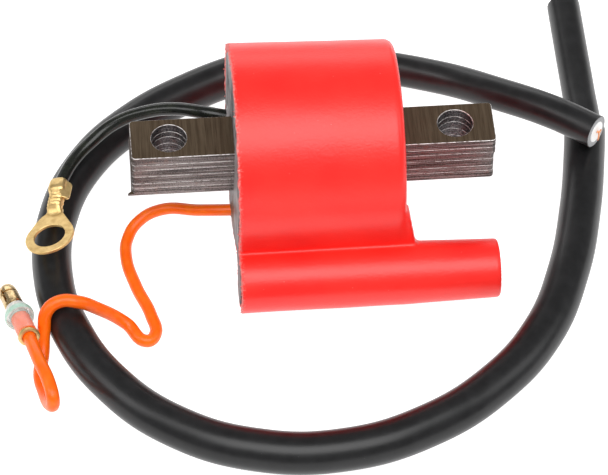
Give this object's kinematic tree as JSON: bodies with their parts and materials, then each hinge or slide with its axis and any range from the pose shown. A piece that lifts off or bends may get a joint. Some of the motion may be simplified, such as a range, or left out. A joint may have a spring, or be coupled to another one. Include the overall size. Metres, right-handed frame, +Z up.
{
  "type": "ignition coil",
  "caption": "Potted ignition coil on a drilled, laminated bar core, with a moulded case and lead socket, a ring-ended wire, a bullet-ended wire and a loose sleeved spark lead",
  "frame": {"origin": "centre of the case and core's box, at the level of the surface it lies on", "axes": "+X along the core bar from the open end of the case to the socket's mouth, +Y away from the lead socket, +Z up"},
  "size_m": [0.128, 0.1197, 0.043],
  "materials": {
    "case": "moulded red plastic, semi-gloss",
    "resin": "cast grey resin",
    "steel": "varnished electrical steel, bright sheared edges",
    "bobbin": "natural nylon",
    "copper": "copper wire",
    "tape": "insulating tape",
    "brass": "satin brass sheet",
    "tinned": "tinned pin",
    "black_pvc": "black PVC insulation",
    "orange_pvc": "orange PVC insulation",
    "clear_pvc": "clear PVC",
    "lead_rubber": "black rubber, satin",
    "sleeve_rubber": "black rubber sleeve, satin"
  },
  "bodies": {
    "coil": {"housing": "case", "socket_tube": "case", "potting": "resin", "lamination_1": "steel", "lamination_2": "steel", "lamination_3": "steel", "lamination_4": "steel", "lamination_5": "steel", "lamination_6": "steel", "lamination_7": "steel", "lamination_8": "steel", "lamination_9": "steel", "lamination_10": "steel", "lamination_11": "steel", "lamination_12": "steel", "lamination_13": "steel", "lamination_14": "steel", "lamination_15": "steel", "lamination_16": "steel", "lamination_17": "steel", "lamination_18": "steel", "lamination_19": "steel", "lamination_20": "steel", "lamination_21": "steel", "lamination_22": "steel", "primary_bobbin": "bobbin", "primary_winding": "copper", "primary_wrap": "tape", "secondary_bobbin": "bobbin", "secondary_winding": "copper", "ht_link": "copper", "ht_contact": "brass", "signal_pin": "tinned", "ground_pin": "tinned", "ground_wire": "black_pvc", "ring_terminal": "brass", "signal_wire": "orange_pvc", "bullet_terminal": "brass", "ht_lead": "lead_rubber", "ht_lead_sleeve": "sleeve_rubber", "ht_lead_strands": "copper"},
    "clear_sleeve": {"bullet_sleeve": "clear_pvc"}
  },
  "joints": [
    {"name": "sleeve_slide", "type": "slide", "parent": "coil", "child": "clear_sleeve", "axis": [-0.2537, 0.9381, -0.236], "range_m": [0, 0.007]}
  ]
}
